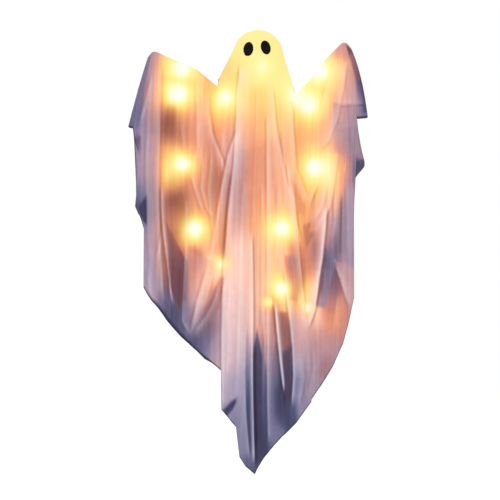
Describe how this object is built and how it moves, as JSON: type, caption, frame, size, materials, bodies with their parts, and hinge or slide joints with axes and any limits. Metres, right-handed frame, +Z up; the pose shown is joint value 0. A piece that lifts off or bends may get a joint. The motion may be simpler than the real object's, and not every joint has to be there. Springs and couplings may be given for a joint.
{
  "type": "light-up hanging ghost decoration",
  "caption": "Hanging ghost decoration: a lit frosted globe head under sheer gauze drapes, on a wire frame with two bent arms that swing, and a battery box with warm string lights.",
  "frame": {"origin": "the point inside the top of the hanging eye where a hook bears", "axes": "+Z up, the ghost's face and front look along -Y, and its right-hand side in the picture is +X"},
  "size_m": [0.6517, 0.2326, 1.1964],
  "materials": {
    "gauze": "sheer white gauze that shades to grey and violet at the hems",
    "frosted_globe": "frosted, lit from inside",
    "black_felt": "matt felt",
    "zinc_wire": "zinc-plated steel wire",
    "black_plastic": "moulded, matt",
    "white_plastic": "moulded, satin",
    "wire_sleeve": "insulated light wire",
    "warm_lamp": "warm white lamp in its holder",
    "cell_wrap": "plain wrapped dry cell",
    "spring_steel": "plated spring steel",
    "circuit_board": "green board with a black slide switch body"
  },
  "bodies": {
    "frame_and_head": {"hanging_eye": "zinc_wire", "globe_front_shell": "frosted_globe", "globe_rear_shell": "frosted_globe", "globe_collar": "white_plastic", "spine_rod": "zinc_wire", "shoulder_hub": "black_plastic", "clamp_screw": "zinc_wire", "left_eye": "black_felt", "right_eye": "black_felt", "body_drape": "gauze", "wire_splitter": "black_plastic", "left_shoulder_link": "wire_sleeve", "right_shoulder_link": "wire_sleeve", "battery_lead": "wire_sleeve", "head_strand": "wire_sleeve", "centre_strand": "wire_sleeve", "light_01": "warm_lamp", "light_02": "warm_lamp", "light_03": "warm_lamp", "light_04": "warm_lamp", "light_05": "warm_lamp", "spine_tie": "black_plastic", "battery_case": "white_plastic", "contact_plate": "spring_steel", "cell_1": "cell_wrap", "cell_2": "cell_wrap", "cell_3": "cell_wrap", "contact_spring_1": "spring_steel", "contact_spring_2": "spring_steel", "contact_spring_3": "spring_steel", "circuit_board": "circuit_board", "case_clip": "white_plastic"},
    "left_arm": {"left_arm_wire": "zinc_wire", "left_hand_ferrule": "zinc_wire", "left_arm_drape": "gauze", "left_arm_strand": "wire_sleeve", "light_06": "warm_lamp", "light_07": "warm_lamp", "light_08": "warm_lamp", "light_09": "warm_lamp", "light_10": "warm_lamp", "light_11": "warm_lamp", "left_inner_tie": "black_plastic", "left_outer_tie": "black_plastic"},
    "right_arm": {"right_arm_wire": "zinc_wire", "right_hand_ferrule": "zinc_wire", "right_arm_drape": "gauze", "right_arm_strand": "wire_sleeve", "light_12": "warm_lamp", "light_13": "warm_lamp", "light_14": "warm_lamp", "light_15": "warm_lamp", "light_16": "warm_lamp", "right_inner_tie": "black_plastic", "right_outer_tie": "black_plastic"},
    "cover": {"battery_cover": "white_plastic"},
    "switch": {"power_switch": "black_plastic"}
  },
  "joints": [
    {"name": "left_arm_swing", "type": "hinge", "parent": "frame_and_head", "child": "left_arm", "pos_m": [-0.035, -0.05713, -0.2569], "axis": [0, 0, 1], "range_deg": [-25, 26]},
    {"name": "right_arm_swing", "type": "hinge", "parent": "frame_and_head", "child": "right_arm", "pos_m": [0.035, -0.05713, -0.2569], "axis": [0, 0, -1], "range_deg": [-25, 26]},
    {"name": "cover_slide", "type": "slide", "parent": "frame_and_head", "child": "cover", "axis": [0, 0, -1], "range_m": [0, 0.062]},
    {"name": "switch_slide", "type": "slide", "parent": "frame_and_head", "child": "switch", "axis": [1, 0, 0], "range_m": [0, 0.004]}
  ]
}
